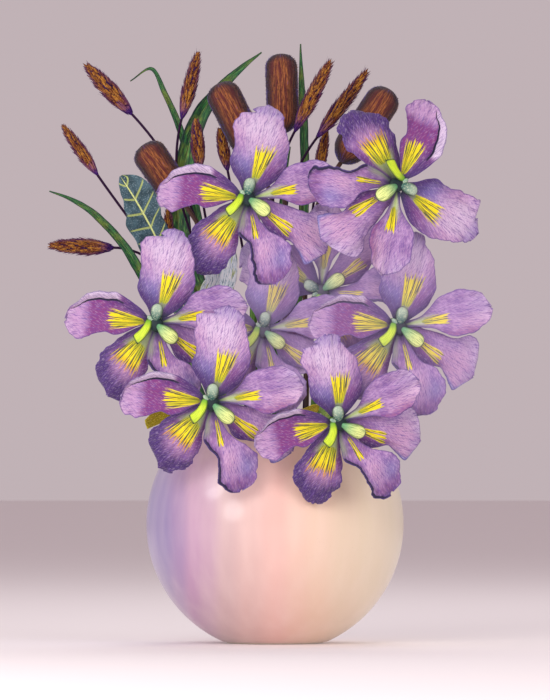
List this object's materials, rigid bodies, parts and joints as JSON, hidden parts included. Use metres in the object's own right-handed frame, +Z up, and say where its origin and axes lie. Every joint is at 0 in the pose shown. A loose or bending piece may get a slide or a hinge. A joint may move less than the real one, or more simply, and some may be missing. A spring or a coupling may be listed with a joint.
{
  "type": "flower arrangement in a vase",
  "caption": "Bouquet of lilac irises with cattails, grass spikes, grass blades and leaves, standing in a round pastel glazed vase.",
  "frame": {"origin": "centre of the vase's flat foot, in the plane that it stands on", "axes": "+Z up; the blooms face -Y, the front; +X is to the right seen from the front; metres"},
  "size_m": [0.3099, 0.2168, 0.4201],
  "materials": {
    "glaze": "satin pastel glaze that fades from periwinkle on the left through pink and peach to cream on the right",
    "petal": "matt lilac petal with fine purple veins, a dark purple ruffled edge and yellow signals at the base",
    "style": "waxy yellow-green style arm with pale tips and a dark teal base",
    "stem": "smooth green stem",
    "cattail": "felted reddish brown head with dark purple edges",
    "stalk": "dry dark brown stalk",
    "spike": "bristly ochre and brown seed spike on a thin dark stalk",
    "blade": "matt dark green grass blade with fine lengthwise veins",
    "veined_leaf": "dark blue-grey teal leaf with yellow-green veins",
    "yellow_leaf": "mustard yellow leaf",
    "silver_leaf": "downy silver-blue leaf"
  },
  "bodies": {
    "root": {"vase": "glaze", "iris_1_stem": "stem", "iris_1_falls": "petal", "iris_1_standards": "petal", "iris_1_styles": "style", "iris_2_stem": "stem", "iris_2_falls": "petal", "iris_2_standards": "petal", "iris_2_styles": "style", "iris_3_stem": "stem", "iris_3_falls": "petal", "iris_3_standards": "petal", "iris_3_styles": "style", "iris_4_stem": "stem", "iris_4_falls": "petal", "iris_4_standards": "petal", "iris_4_styles": "style", "iris_5_stem": "stem", "iris_5_falls": "petal", "iris_5_standards": "petal", "iris_5_styles": "style", "iris_6_stem": "stem", "iris_6_falls": "petal", "iris_6_standards": "petal", "iris_6_styles": "style", "iris_7_stem": "stem", "iris_7_falls": "petal", "iris_7_standards": "petal", "iris_7_styles": "style", "iris_8_stem": "stem", "iris_8_falls": "petal", "iris_8_standards": "petal", "iris_8_styles": "style", "cattail_1_stalk": "stalk", "cattail_1_head": "cattail", "cattail_2_stalk": "stalk", "cattail_2_head": "cattail", "cattail_3_stalk": "stalk", "cattail_3_head": "cattail", "cattail_4_stalk": "stalk", "cattail_4_head": "cattail", "spike_1": "spike", "spike_2": "spike", "spike_3": "spike", "spike_4": "spike", "spike_5": "spike", "spike_6": "spike", "spike_7": "spike", "spike_8": "spike", "spike_9": "spike", "spike_10": "spike", "blade_1": "blade", "blade_2": "blade", "blade_3": "blade", "blade_4": "blade", "blade_5": "blade", "veined_leaf": "veined_leaf", "yellow_leaf_left": "yellow_leaf", "yellow_leaf_right": "yellow_leaf", "silver_leaf": "silver_leaf"}
  },
  "joints": []
}
